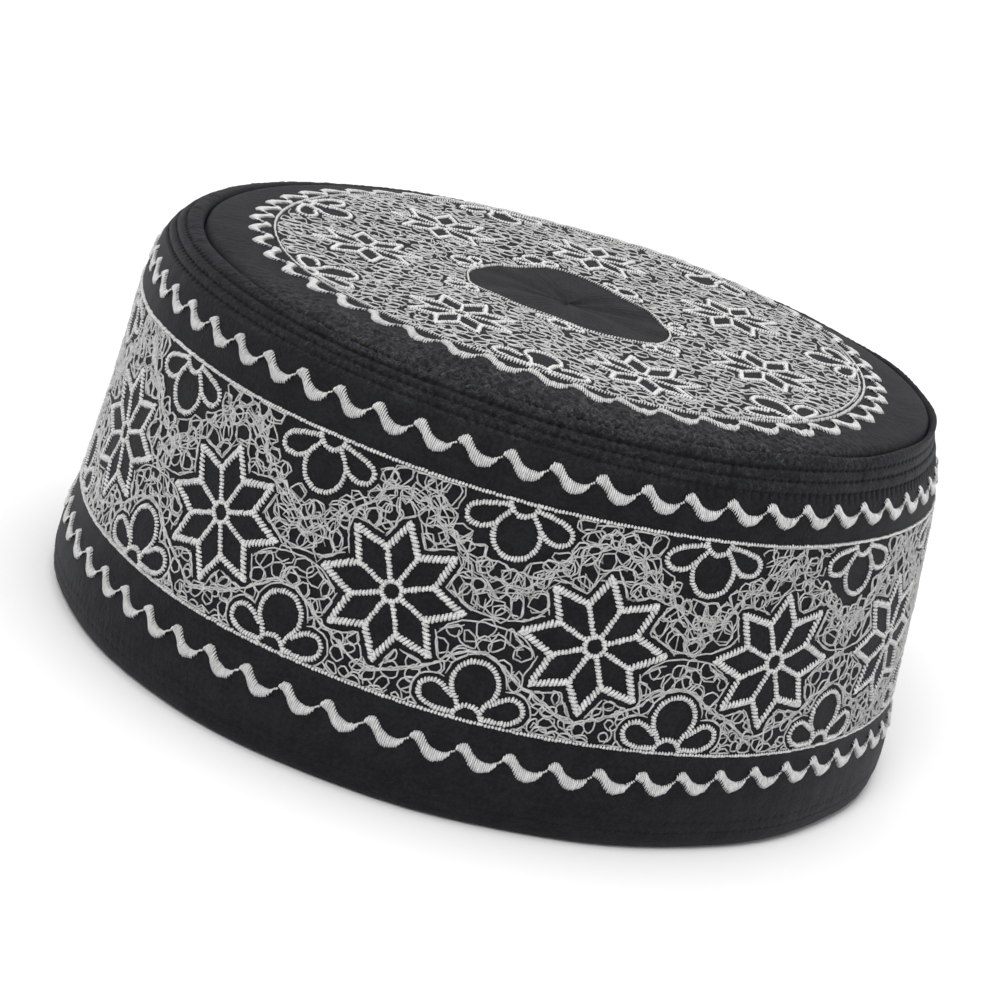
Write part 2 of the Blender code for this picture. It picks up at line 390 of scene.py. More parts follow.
def bumped(tree, height, depth, strength, under=None):
    inputs = {"Height": height, "Distance": depth, "Strength": strength}
    if under:
        inputs["Normal"] = under
    return addNode(tree, "Bump", inputs).outputs["Normal"]


clothLook = {
    "dark": (0.0014, 0.0017, 0.0030, 1), "light": (0.0100, 0.0108, 0.0138, 1),
    "weave": 0.62, "slant": 38, "weaveDepth": 0.00006,     # mm, degrees and metres of the twill
    "patches": 0.16, "lint": 1.1, "lintDepth": 0.00040,    # grains a mm, metres
    "crinkle": 1.05, "crinkleDepth": 0.00075,              # the same where the cloth is crumpled
    # painted glints and painted shade: on glossy crumpled cloth the colour is multiplied by these, lighter on
    # the crinkle's high spots and darker in its hollows
    "crinkleShade": (0.30, 0.30, 0.26, 1), "crinkleGlint": (6.2, 6.0, 5.2, 1),
    # the first is how far the painted shade in creases darkens the colour
    "creaseShadeTone": 0.12, "roughness": 0.62, "glossRoughness": 0.36, "sheen": 0.04, "specular": 0.18,
}


def clothMaterial(name, look):
    material, tree, shader = startMaterial(name)
    spot = addNode(tree, "UVMap", uv_map="mm").outputs["UV"]
    twill = lineTexture(tree, slanted(tree, spot, look["slant"]), look["weave"], 1.4, 2.0, 1.6)
    yarn = lineTexture(tree, spot, look["weave"] * 0.6, 2.0, 1.0, 2.0, "Y")
    weave = mixed(tree, 0.4, twill, yarn, "MIX")
    lint = noise(tree, spot, look["lint"], 4.0, 0.75)
    tone = addNode(tree, "Mix", {0: 0.62, 2: noise(tree, spot, look["patches"], 4.0, 0.62), 3: lint})
    colour = shades(tree, tone.outputs[0], (0.44, look["dark"]), (0.57, look["light"]))
    colour = mixed(tree, 0.45, colour, weave)
    # painted shade: this darkens the base colour in stitch holes, rows, folds, pleat valleys and the groove
    colour = mixed(tree, 1.0, colour, scaled(tree, painted(tree, "crease_shade"), 1.0, look["creaseShadeTone"]))
    glossArea = painted(tree, "gloss")
    # painted glints and shade: where the cloth is glossy its colour follows the crinkle, several times
    # lighter on the high spots and darker in the hollows; the same crinkle also bumps the surface
    crinkle = noise(tree, spot, look["crinkle"], 3.0, 0.62, 0.8)
    paintedCrinkleLight = shades(tree, crinkle, (0.42, look["crinkleShade"]), (0.64, look["crinkleGlint"]))
    tree.links.new(mixed(tree, glossArea, colour, paintedCrinkleLight), shader.inputs["Base Color"])
    normal = bumped(tree, weave, look["weaveDepth"], 0.55)
    normal = bumped(tree, lint, look["lintDepth"], 0.8, normal)
    normal = bumped(tree, crinkle, look["crinkleDepth"], glossArea, normal)
    tree.links.new(normal, shader.inputs["Normal"])
    tree.links.new(scaled(tree, glossArea, look["roughness"], look["glossRoughness"]), shader.inputs["Roughness"])
    shader.inputs["Sheen Weight"].default_value = look["sheen"]
    shader.inputs["Sheen Roughness"].default_value = 0.45
    shader.inputs["Sheen Tint"].default_value = (0.75, 0.80, 1.0, 1)
    shader.inputs["Specular IOR Level"].default_value = look["specular"]
    return material


lightThread = {
    "dark": (0.52, 0.52, 0.515, 1), "light": (0.84, 0.84, 0.83, 1),
    "twist": 0.42, "slant": 32, "bump": 0.00006,     # mm, degrees and metres of the twist
    "roughness": 0.50, "sheen": 0.15, "specular": 0.45,
}
laceLook = dict(lightThread, dark=(0.42, 0.42, 0.415, 1), light=(0.76, 0.76, 0.75, 1))
crownThreadLook = dict(lightThread, dark=(0.62, 0.62, 0.615, 1), light=(0.92, 0.92, 0.91, 1))
blackThread = {
    "dark": (0.003, 0.0032, 0.0042, 1), "light": (0.009, 0.0095, 0.012, 1),
    "twist": 0.40, "slant": 32, "bump": 0.00005,
    "roughness": 0.60, "sheen": 0.02, "specular": 0.12,
}


def threadMaterial(name, look):
    material, tree, shader = startMaterial(name)
    spot = addNode(tree, "UVMap", uv_map="mm").outputs["UV"]
    twist = lineTexture(tree, slanted(tree, spot, look["slant"]), look["twist"], 0.6, 1.0, 1.0)
    fleck = noise(tree, spot, 0.7, 3.0, 0.6)
    colour = shades(tree, fleck, (0.30, look["dark"]), (0.62, look["light"]))
    tree.links.new(mixed(tree, 0.25, colour, twist), shader.inputs["Base Color"])
    tree.links.new(bumped(tree, twist, look["bump"], 0.7), shader.inputs["Normal"])
    shader.inputs["Roughness"].default_value = look["roughness"]
    shader.inputs["Sheen Weight"].default_value = look["sheen"]
    shader.inputs["Sheen Roughness"].default_value = 0.4
    shader.inputs["Specular IOR Level"].default_value = look["specular"]
    return material


bandCloth = clothMaterial("band cloth", clothLook)
# painted light: the crown has its own copy of the band cloth with lighter colours, standing in for the light
# that falls on the top
crownClothPaintedLighter = clothMaterial("crown cloth painted lighter", dict(clothLook, dark=(0.0022, 0.0025, 0.0036, 1),
                                               light=(0.0150, 0.0157, 0.0180, 1)))
thread = threadMaterial("light thread", lightThread)
laceThread = threadMaterial("lace thread", laceLook)
crownThread = threadMaterial("crown thread", crownThreadLook)
stitching = threadMaterial("black thread", blackThread)
report("materials ready")

bandMesh = {
    "around": 880, "frontShare": 1.3,    # steps round the band, and how much closer they are at the front
    "rows": [(4.0, 0.8), (lowLineS, 1.25), (grooveS - 9.5, 2.4), (grooveS + 2.2, 0.34), (200.0, 0.9)],
}   # rows: up to here along the outer line, mm from row to row


def rowsAlong(start, stop, table):
    rows = [start]
    while rows[-1] < stop:
        rows.append(rows[-1] + next(step for limit, step in table if rows[-1] < limit))
    return rows


def setValues(obj, name, values):
    layer = obj.data.attributes.new(name, "FLOAT", "POINT")
    layer.data.foreach_set("value", values.astype(np.float32))


# angles round the band, closer together at the front
def bandAngles():
    a = np.linspace(0, turn, 7201)
    density = 1.0 + bandMesh["frontShare"] * np.clip(-np.sin(a), 0, 1) ** 0.5
    run = np.concatenate([[0], np.cumsum(0.5 * (density[1:] + density[:-1]))])
    return np.interp(np.arange(bandMesh["around"]) / bandMesh["around"] * run[-1], run, a)


def buildBand():
    top = tabS[-1]
    s = np.array(rowsAlong(tabS[0], top, bandMesh["rows"])[:-1] + [top])
    angle = bandAngles()
    ss, aa = np.meshgrid(s, angle, indexing="ij")
    fade = 1.0 - smooth(grooveS + 0.5, grooveS + 2.0, ss)
    fade *= smooth(tabS[0], tabS[0] + 3.0, ss)
    relief, crease_shade, strip = bandRelief(aa, ss)
    points = bandPlace(aa * patternRadius, ss, relief * (fade - 1.0))
    inner = np.array(form["inside"])
    ir, ia = np.meshgrid(inner[:, 0], angle, indexing="ij")
    points = np.concatenate([points, softForm(ir, inner[:, 1:], ia) * mm]).reshape(-1, 3)
    allS = np.concatenate([s, top + (0.5 + lengthAlong(inner))])
    uv = np.stack(np.meshgrid(angle * patternRadius, allS), -1).reshape(-1, 2)
    quads = ringFaces(len(allS), len(angle), True)
    noTris = np.zeros((0, 3), int)
    obj = newPiece("band_cloth", points, quads, noTris, uv, bandCloth, "side_band",
                   turn * patternRadius)
    # gloss marks the crinkled cloth that is smoother and gets painted glints and shade
    setValues(obj, "gloss", np.concatenate([strip, 0 * ir]).ravel())
    # painted shade in the creases, stitch holes and the groove
    setValues(obj, "crease_shade", np.concatenate([crease_shade, 0 * ir]).ravel())


crownMesh = {"around": 860, "rows": [(27.0, 1.2), (70.0, 3.5), (200.0, 0.44)]}


def buildCrown():
    r = np.array([v for v in rowsAlong(0.6, 80.9, crownMesh["rows"]) if v < 80.4] + [80.7, 80.9, 80.95])
    cols = crownMesh["around"]
    angle = np.arange(cols) / cols * turn
    rr, aa = np.meshgrid(r, angle, indexing="ij")
    below = np.array(form["underside"])
    br, ba = np.meshgrid(below[:, 0], angle, indexing="ij")
    top, low = polar(rr, aa), polar(br, ba)
    bz = below[:, 1:] - middleDip(low[..., 0], low[..., 1])
    rings = np.concatenate([crownPlace(top[..., 0], top[..., 1], 0.0), softForm(br, bz, ba) * mm])
    zero = np.zeros(1)
    middleLow = softForm(zero, below[-1:, 1] - middle["dip"], zero) * mm
    points = np.concatenate([rings.reshape(-1, 3), crownPlace(zero, zero, 0.0), middleLow])
    rows = len(r) + len(below)
    j = np.arange(cols)
    after = np.roll(j, -1)
    last = (rows - 1) * cols
    topFan = np.stack([0 * j + rows * cols, j, after], -1)
    lowFan = np.stack([0 * j + rows * cols + 1, last + after, last + j], -1)
    flat = np.concatenate([top.reshape(-1, 2), low.reshape(-1, 2), np.zeros((2, 2))])
    obj = newPiece("crown_cloth", points, ringFaces(rows, cols, False),
                   np.concatenate([topFan, lowFan]), flat, crownClothPaintedLighter, "crown_panel")
    obj.data.set_sharp_from_angle(angle=math.radians(60))
    rest = np.zeros(br.size + 2)
    # gloss marks the crumpled front ring, smoother and with painted glints and shade
    setValues(obj, "gloss", np.concatenate([(smooth(69.5, 74.0, rr) * crumpled(aa)).ravel(), rest]))
    # painted shade where the crown's edge turns down into the groove
    setValues(obj, "crease_shade", np.concatenate([smooth(80.5, 80.95, rr).ravel(), rest]))


# evenly spaced points of a line, with the direction at each
def resample(path, pitch):
    dist = lengthAlong(path)
    count = max(2, int(round(dist[-1] / pitch)) + 1)
    d = np.linspace(0, dist[-1], count)
    spots = (d, d + 0.3, d - 0.3)
    p, ahead, behind = (np.stack([np.interp(at, dist, v) for v in path.T], -1) for at in spots)
    t = ahead - behind
    return p, t / np.maximum(np.hypot(*t.T), 1e-9)[:, None]


satinStyle = {
    "pitch": 0.66,
    "threadWide": 0.30, "threadHigh": 0.20,      # half sizes of one stitch
    "arch": 0.34,
    "slant": 0.20,           # how far one end of a stitch runs ahead of the other, in mm
    "jitter": 0.07,
}


# ends of the satin stitches that cover a line
def stitchesAlong(path, width, rng, pitch=satinStyle["pitch"], slant=satinStyle["slant"]):
    p, t = resample(path, pitch)
    n = leftOf(t)
    j = rng.normal(0, satinStyle["jitter"], (4, len(p), 1))
    a = p - n * (0.5 * width + j[0]) - t * (slant + 0.4 * j[2])
    b = p + n * (0.5 * width + j[1]) + t * (slant + 0.4 * j[3])
    return np.stack([a, b], 1)


threadSection = ((1.0, -0.35), (0.0, 1.0), (-1.0, -0.35))     # sideways and up, in parts of the thread's size


# quads between rings of three points
def threadQuads(rings):
    k = np.arange(rings)[:, None] * 3
    sides = [np.column_stack([k + c, k + d, k + 3 + d, k + 3 + c]) for c, d in ((0, 1), (1, 2), (2, 0))]
    return np.stack(sides, 1).reshape(-1, 4)


# one piece of small arched stitches, from groups of stitches with two ends each
def satin(name, groups, place, material, arch=satinStyle["arch"], wide=satinStyle["threadWide"],
          high=satinStyle["threadHigh"]):
    stitches = np.concatenate(groups)
    a, b = stitches[:, 0], stitches[:, 1]
    count = len(a)
    along = b - a
    length = np.maximum(np.hypot(*along.T), 1e-6)
    along = along / length[:, None]
    side = leftOf(along)
    rings = np.array([0.0, 0.26, 0.74, 1.0])
    scale = np.array([0.72, 1.0, 1.0, 0.72])
    rng = np.random.default_rng(count)
    tall = arch * (0.88 + 0.24 * rng.random(count))
    w = (wide * (0.9 + 0.2 * rng.random(count)))[:, None] * scale
    centre = a[:, None] + (b - a)[:, None] * rings[:, None]
    lift = np.array([0.0, 1.0, 1.0, 0.0]) * tall[:, None] + np.array([-0.10, 0.0, 0.0, -0.10])
    corners = []
    for across, up in threadSection:
        spot = centre + side[:, None] * (across * w)[..., None]
        corners.append(place(spot[..., 0], spot[..., 1], lift + up * high * scale))
    base = np.arange(count)[:, None, None] * 12
    quads = (threadQuads(3) + base).reshape(-1, 4)
    caps = (np.array([[2, 1, 0], [9, 10, 11]]) + base).reshape(-1, 3)
    uvAlong = (length[:, None] * rings)[..., None] + np.zeros(3) + rng.random((count, 1, 1)) * 40
    uvRound = np.array([0.0, 0.5, 1.0]) + 0 * uvAlong
    uv = np.stack([uvAlong, uvRound], -1).reshape(-1, 2)
    newPiece(name, np.stack(corners, 2).reshape(-1, 3), quads, caps, uv, material)


# one piece of thin threads that run through the points of each path
def strands(name, paths, lifts, place, radius):
    corners, quads, caps, uv = [], [], [], []
    base = 0
    for path, up in zip(paths, lifts):
        n = len(path)
        t = np.gradient(path, axis=0)
        t = t / np.maximum(np.hypot(*t.T), 1e-9)[:, None]
        side = leftOf(t)
        size = np.full(n, radius)
        size[0] = size[-1] = radius * 0.6
        sides = [np.column_stack([path + side * (across * size)[:, None], up + rise * size])
                 for across, rise in threadSection]
        corners.append(np.stack(sides, 1).reshape(-1, 3))
        quads.append(threadQuads(n - 1) + base)
        caps.append(np.array([[2, 1, 0], [n * 3 - 3, n * 3 - 2, n * 3 - 1]]) + base)
        uv.append(np.stack([np.repeat(lengthAlong(path), 3), np.tile([0.0, 0.5, 1.0], n)], -1))
        base += n * 3
    newPiece(name, place(*np.concatenate(corners).T), np.concatenate(quads),
             np.concatenate(caps), np.concatenate(uv), laceThread)


# arc round the point (0, y)
def arcPoints(y, radius, start, end, count):
    return polar(radius, np.radians(np.linspace(start, end, count))) + (0, y)


starShape = {
    "wide": 15.0, "tall": 14.1, "notch": 8.8, "ring": 2.1,
    "outline": 1.5, "spoke": 1.15, "ringWidth": 1.05,
}


# (kind, line) for one eight-pointed star at the origin
def starLines(shape, spin=0.0):
    lines = []
    for k in range(8):
        tipAngle = math.radians(45 * k) + spin
        tip = np.array([shape["wide"] * math.cos(tipAngle), shape["tall"] * math.sin(tipAngle)])
        for side in (-1, 1):
            notchAngle = tipAngle + side * math.radians(22.5)
            notch = polar(shape["notch"], notchAngle)
            lines.append(("outline", np.array([notch, tip][::-side])))
        lines.append(("spoke", np.array([polar(shape["ring"], notchAngle), notch])))
    return lines + [("ringWidth", arcPoints(0, shape["ring"], 0, 360, 30))]


def starCorners(star):
    return np.array([line[0] for kind, line in star if kind == "outline"])


flowerShape = {
    "bud": 3.0, "loop": 4.8, "loopDepth": 6.9, "width": 1.15,
    "petal": [(3.1, 1.2), (5.0, 1.5), (7.6, 2.1), (9.9, 3.0), (11.0, 4.6), (10.3, 6.3), (8.4, 6.9),
              (6.3, 6.5), (4.7, 5.3)],
}
lowFlowerShape = {
    "bud": 3.0, "loop": 4.7, "loopDepth": 7.5, "width": 1.15,
    "petal": [(3.1, 1.0), (5.0, 0.9), (7.4, 1.0), (9.6, 1.9), (10.6, 3.6), (10.0, 5.5), (8.0, 6.3),
              (6.0, 5.6), (3.9, 4.1)],
}


# lines of a flower that hangs from y = 0 towards -y
def flowerLines(shape):
    bud = arcPoints(0, shape["bud"], 180, 360, 16)
    gapAngle = 40
    loop = arcPoints(-shape["loopDepth"], shape["loop"], 90 - gapAngle, 90 - 360 + gapAngle, 30)
    foot = shape["bud"] * 0.80
    loop = np.vstack([[(foot, -foot * 0.92)], loop, [(-foot, -foot * 0.92)]])
    petal = curveThrough(shape["petal"], 5) * (1, -1)
    return [("width", line) for line in (bud, loop, petal, petal * (-1, 1))]


repeats = 14
repeatWide = turn * patternRadius / repeats
starPlace = {"degrees": 259.05, "height": 42.9}


def starU(k):
    return math.radians(starPlace["degrees"]) * patternRadius + k * repeatWide


def buildBandMotifs():
    rng = np.random.default_rng(11)
    stars, flowers = [], []
    star = starLines(starShape)
    high = flowerLines(flowerShape)
    low = [(kind, line * (1, -1)) for kind, line in flowerLines(lowFlowerShape)]
    for k in range(repeats):
        u = starU(k)
        for kind, line in star:
            slant, pitch = (0.50, 0.86) if kind == "outline" else (0.25, 0.72)
            stars.append(stitchesAlong(line + (u, starPlace["height"]), starShape[kind], rng, pitch, slant))
        for lines, height in ((high, highLineS), (low, lowLineS)):
            for kind, line in lines:
                flowers.append(stitchesAlong(line + (u + repeatWide / 2, height), flowerShape[kind], rng))
    satin("band_stars", stars, bandPlace, thread, wide=0.38)
    satin("band_flowers", flowers, bandPlace, thread, wide=0.31)
    return star, high, low


borderStyle = {"width": 0.66, "pitch": 0.72, "slant": 0.22}


def buildBorders():
    rng = np.random.default_rng(12)
    full = turn * patternRadius
    x = np.linspace(0, full, 721)
    groups = []
    for height in (lowLineS, highLineS):
        line = np.stack([x, height + 0.10 * np.sin(x / full * turn * 9)], -1)
        groups.append(stitchesAlong(line, rng=rng, **borderStyle)[:-1])
    satin("band_borders", groups, bandPlace, thread, arch=0.30, wide=0.33)


# edges of one S of the wavy trim: mm along, mm up. The peak and the tip are mm along
waveLength, wavePeak, waveTip = 9.6, 1.4, 5.4
waveTop = np.array([(0.0, 1.5), (0.5, 2.3), (1.4, 2.65), (2.2, 2.5), (2.9, 1.7), (3.6, 0.9), (4.3, 0.35),
                    (5.4, -0.1), (6.5, -0.3), (7.6, -0.2), (8.5, 0.2), (9.0, 0.45), (9.6, 0.85)])
waveBottom = np.array([(0.0, 0.85), (0.8, 0.6), (1.4, 0.35), (2.2, -0.2), (2.7, -0.8), (3.4, -1.7),
                       (4.3, -2.35), (5.4, -2.7), (6.5, -2.45), (7.6, -2.0), (8.3, -1.25), (8.7, -0.6),
                       (8.95, 0.1), (9.6, 0.5)])
# count of S, degrees of one peak, mm up, how uneven the steps are, mm it rises at the right, mm it drifts
bandWaves = [
    {"count": 60, "peak": 262.52, "height": 74.5, "stretch": 0.0078, "rise": 0.0, "drift": -0.9},
    {"count": 64, "peak": 261.23, "height": 15.3, "stretch": -0.0058, "rise": 2.0, "drift": 0.0},
]


# stitch ends of the trim for one full turn: along in units of one S, up in mm
def waveStitches(count, rng):
    steps = 22
    along = (np.arange(steps) + 0.5) / steps * waveLength
    unitAlong = np.concatenate([along / waveLength + k for k in range(count)])
    jit = rng.normal(0, 0.05, (2, len(unitAlong)))
    low = np.tile(np.interp(along, *waveBottom.T), count) - 0.05 + jit[0]
    return unitAlong, low, np.tile(np.interp(along, *waveTop.T), count) + 0.05 + jit[1]


def buildBandWaves():
    rng = np.random.default_rng(13)
    groups = []
    for w in bandWaves:
        unit, low, high = waveStitches(w["count"], rng)
        phase = (unit - wavePeak / waveLength) / w["count"] * turn
        around = phase - turn * np.round(phase / turn)
        angle = math.radians(w["peak"]) + phase - w["stretch"] * np.sin(around)
        here = np.degrees(np.mod(angle, turn))
        rise = w["rise"] * smooth(285, 322, here) * (1 - smooth(335, 360, here))
        rise = rise + w["drift"] * (drift(angle) - 0.5)
        u = angle * patternRadius
        rise = rise + w["height"]
        ends = [np.stack([u - 0.10, low + rise], -1), np.stack([u + 0.10, high + rise], -1)]
        groups.append(np.stack(ends, 1))
    satin("band_waves", groups, bandPlace, thread, arch=0.42, wide=0.235, high=0.14)


crownPattern = {
    "stars": [(186, 46.2, 5), (243.9, 47.8, 4), (292.6, 47.7, -8), (341.5, 46.4, -7), (33, 43.5, -6),
              (86, 42.2, 0), (135.5, 45.2, 0)],         # degrees round, mm out, own turn in degrees
    "flowers": [214, 268.1, 319, 9.5, 60.3, 110, 163],
    "innerFlowers": [217, 268.3, 317, 2, 60, 113, 165],
    "line": 67.2,
    "pull": [(0, 0.0), (30, -0.4), (60, -1.6), (90, -2.0), (120, -1.6), (150, -0.6), (180, -0.2), (205, -0.3),
             (220, -1.6), (235, -2.4), (247, -1.6), (255, -0.8), (265, -1.2), (285, -1.9), (297, -1.4),
             (308, -0.3), (317, 0.9), (328, 0.8), (342, 0.2)],    # degrees, mm the ring is pulled out
    "oval": (-0.0105, -0.0107), "grow": 1.006,     # the pattern is a little longer along one diagonal
    "waveRadius": 70.3,
    "waveTips": [(0, 183.5), (4, 214.5), (8, 247.5), (12, 278.5), (16, 308.5), (20, 339.0), (23, 360.5),
                 (49, 543.5)],           # number of the S and the degrees where its tip is
}
crownStar = {
    "wide": 12.2, "tall": 12.2, "notch": 7.0, "ring": 1.6,
    "outline": 1.20, "spoke": 0.90, "ringWidth": 0.7,
}
crownFlower = {
    "bud": 2.2, "loop": 3.8, "loopDepth": 8.0, "width": 1.1,
    "petal": [(2.5, 1.1), (4.6, 1.3), (7.0, 1.9), (9.1, 2.8), (10.1, 4.3), (9.5, 5.9), (7.7, 6.4),
              (5.8, 6.0), (4.3, 4.9)],
}
innerFlower = {
    "bud": 1.4, "loop": 2.4, "loopDepth": 4.4, "width": 0.85,
    "petal": [(1.6, 0.9), (2.8, 0.9), (4.3, 1.3), (5.2, 2.5), (4.6, 3.8), (3.2, 3.9), (2.2, 3.2)],
}


# radius of the stitched ring round the plain middle
def middleEdge(angle):
    return roundTable(middle["edge"], angle)


# a drawing at its angle on the crown, the hanging end pointing out (1) or in (-1)
def turned(line, degrees, radius, way=1):
    x, y = polar(1.0, math.radians(degrees))
    return np.array([x, y]) * radius + line[:, :1] * (-y, x) - way * line[:, 1:] * (x, y)


def buildCrownMotifs():
    rng = np.random.default_rng(14)
    groups, lines, closed = [], [], []
    for a, radius, spin in crownPattern["stars"]:
        star = starLines(crownStar, math.radians(spin))
        closed.append(turned(starCorners(star), a, radius))
        for kind, line in star:
            lines.append(turned(line, a, radius))
            groups.append(stitchesAlong(lines[-1], crownStar[kind], rng, 0.64, 0.16))
    sets = [(crownFlower, a, crownPattern["line"] - 0.3, -1) for a in crownPattern["flowers"]]
    for a in crownPattern["innerFlowers"]:
        sets.append((innerFlower, a, float(middleEdge(math.radians(a))) + 0.3, 1))
    for shape, a, radius, way in sets:
        for kind, line in flowerLines(shape):
            placed = turned(line, a, radius, way)
            lines.append(placed)
            closed.append(placed)
            groups.append(stitchesAlong(placed, shape[kind], rng, 0.64, 0.14))
    satin("crown_motifs", groups, crownSewn, crownThread, arch=0.30, wide=0.35, high=0.15)
    return lines, closed


def buildCrownTrim():
    rng = np.random.default_rng(15)
    full = np.linspace(0, turn, 721)
    inner = np.radians(np.linspace(296, 385, 200))
    innerRadius = crownPattern["line"] - 0.45 - 0.75 * np.sin(np.linspace(0, math.pi, 200)) ** 0.5
    # the last is the second thread inside the front of the ring
    rings = [(crownPattern["line"] + 0.12 * np.sin(7 * full), full, 0.62), (middleEdge(full), full, 0.62),
             (innerRadius, inner, 0.34)]
    groups = [stitchesAlong(polar(r, a), wide, rng, 0.66, 0.16)[:-1] for r, a, wide in rings]
    number, degrees = np.array(crownPattern["waveTips"]).T
    unit, low, high = waveStitches(int(number[-1]), rng)
    angle = np.radians(np.interp(np.mod(unit - waveTip / waveLength, number[-1]), number, degrees))
    groups.append(np.stack([polar(crownPattern["waveRadius"] - up, angle) for up in (low, high)], 1))
    satin("crown_trim", groups, crownSewn, thread, arch=0.34, wide=0.24, high=0.13)


# distance to the nearest of the lines, and the way from it
def nearestLine(points, segA, segB):
    d = segB - segA
    dd = np.maximum((d ** 2).sum(1), 1e-9)
    distance, away = np.empty(len(points)), np.empty(points.shape)
    for start in range(0, len(points), 4000):
        some = slice(start, start + 4000)
        rel = points[some][:, None] - segA
        t = np.clip((rel * d).sum(-1) / dd, 0, 1)
        off = rel - t[..., None] * d
        lengths = np.hypot(off[..., 0], off[..., 1])
        pick = np.arange(len(off)), lengths.argmin(1)
        distance[some], away[some] = lengths[pick], off[pick]
    return distance, away


def distanceTo(points, segA, segB):
    return nearestLine(points, segA, segB)[0]


# pushes points away from the lines until they keep the margin
def clearOf(points, segA, segB, margin):
    for _ in range(3):
        distance, away = nearestLine(points, segA, segB)
        push = np.clip(margin - distance, 0, None)
        points = points + away / np.maximum(distance, 1e-6)[:, None] * push[:, None]
    return points


def segments(lines):
    return np.concatenate([line[:-1] for line in lines]), np.concatenate([line[1:] for line in lines])


# keeps candidates that are at least their own spacing apart
def spread(candidates, spacing):
    kept, grid = [], {}
    for p, d in zip(candidates, spacing):
        gx, gy = int(p[0] // 1.0), int(p[1] // 1.0)
        reach = int(math.ceil(d))
        cells = ((i, j) for i in range(gx - reach, gx + reach + 1) for j in range(gy - reach, gy + reach + 1))
        near = (q for cell in cells for q in grid.get(cell, ()))
        if all((q[0] - p[0]) ** 2 + (q[1] - p[1]) ** 2 >= d * d for q in near):
            kept.append((p[0], p[1], d))
            grid.setdefault((gx, gy), []).append((p[0], p[1]))
    return np.array(kept)


# walks from spot to spot, always to the nearest one that is still free
def visitOrder(spots):
    left = np.ones(len(spots), bool)
    order = [0]
    left[0] = False
    for _ in range(len(spots) - 1):
        here = spots[order[-1]]
        d = np.hypot(spots[:, 0] - here[0], spots[:, 1] - here[1])
        d[~left] = 1e9
        order.append(int(d.argmin()))
        left[order[-1]] = False
    return order


# threads that wander from spot to spot and loop round each one
def scribble(rng, spots, size, rounds, breakAt, corners, uneven):
    paths, now = [], []
    last = None
    for x, y, d in spots[visitOrder(spots)]:
        if last is not None and math.hypot(x - last[0], y - last[1]) > breakAt:
            paths.append(now)
            now = []
        steps = int(corners * rng.uniform(*rounds))
        begin = rng.uniform(0, turn) if last is None else math.atan2(last[1] - y, last[0] - x)
        spin = 1 if rng.random() < 0.5 else -1
        reach = d * size * rng.uniform(0.75, 1.2)
        stretch = rng.uniform(0.8, 1.25)
        lean = rng.uniform(0, math.pi)
        wander = rng.uniform(-0.5, 0.5, 2) * d
        c, s = math.cos(lean), math.sin(lean)
        for k in range(steps):
            a = begin + spin * k * turn / corners + rng.normal(0, 0.15)
            r = reach * rng.uniform(1 - uneven, 1 + uneven)
            dx, dy = r * math.cos(a), r * math.sin(a)
            ex, ey = (c * dx + s * dy) * stretch, (-s * dx + c * dy) / stretch
            far = k / max(steps - 1, 1) - 0.5
            now.append((x + c * ex - s * ey + wander[0] * far, y + s * ex + c * ey + wander[1] * far))
        last = (x, y)
    return [np.array(path) for path in paths + [now] if len(path) > 3]


# which points lie inside one of the polygons
def inside(points, polygons):
    x, y = points.T
    hit = np.zeros(len(points), bool)
    for polygon in polygons:
        within = np.zeros(len(points), bool)
        for (ax, ay), (bx, by) in zip(polygon, np.roll(polygon, -1, axis=0)):
            if ay != by:
                within ^= ((ay > y) != (by > y)) & (x < (bx - ax) * (y - ay) / (by - ay) + ax)
        hit |= within
    return hit


# parts of a thread that lie outside every closed drawing
def outsideOf(path, closed):
    cuts = np.flatnonzero(inside(path, closed))
    parts = np.split(path, np.unique(np.concatenate([cuts, cuts + 1])))
    return [part for part in parts if len(part) > 2]


# mm from the middle of a star
laceStyle = {
    "radius": 0.20,
    "starMargin": 1.75, "flowerMargin": 1.45,      # black edge round the motifs
    "garland": [(-21.1, 5.4), (-18.0, 7.6), (-14.5, 10.2), (-11.5, 13.2), (-8.5, 16.8), (-4.0, 20.2),
                (0, 21.2), (4.0, 19.6), (8.0, 15.4), (11.5, 12.8), (15.5, 10.0), (18.5, 7.4), (21.1, 5.4)],
    "ceiling": [(0, 24.9), (7.8, 24.9), (9.2, 21.2), (10.6, 17.6), (13.0, 14.8), (16.0, 12.8), (18.5, 11.8),
                (21.1, 11.3)],
    "lowWave": [(-21.1, -6.4), (-17.5, -7.3), (-14.5, -9.8), (-12.0, -11.4), (-9.0, -12.6), (-5.0, -15.0),
                (-0.8, -16.6), (4.0, -15.0), (9.0, -12.8), (12.5, -10.6), (15.5, -8.2), (18.0, -6.9),
                (21.1, -6.4)],
    "midHigh": [(11.0, 5.6), (12.4, 3.6), (15.0, 1.9), (18.0, 1.3), (21.1, 1.1)],
    "midLow": [(11.0, -4.8), (12.8, -2.6), (15.5, -0.9), (18.4, -0.3), (21.1, -0.2)],      # left halves
}
loopStyles = {
    "upper": {"size": 0.74, "rounds": (1.5, 2.4), "breakAt": 5.0, "corners": 9, "uneven": 0.22},
    "lower": {"size": 0.60, "rounds": (1.2, 1.8), "breakAt": 4.5, "corners": 11, "uneven": 0.10},
    "crown": {"size": 0.64, "rounds": (1.2, 1.9), "breakAt": 4.6, "corners": 9, "uneven": 0.20},
}


# pieces of a line drawn beside another one, kept where nothing else is nearer
def offsetRuns(line, distance, tests, rng):
    p, t = resample(line, 0.9)
    runs = []
    for side in (1, -1):
        q = p + side * distance * leftOf(t)
        cuts = np.flatnonzero(~tests(q, distance - 0.12))
        q = q + rng.normal(0, 0.08, q.shape)
        runs += [run for run in np.split(q, np.unique(np.concatenate([cuts, cuts + 1]))) if len(run) > 3]
    return runs


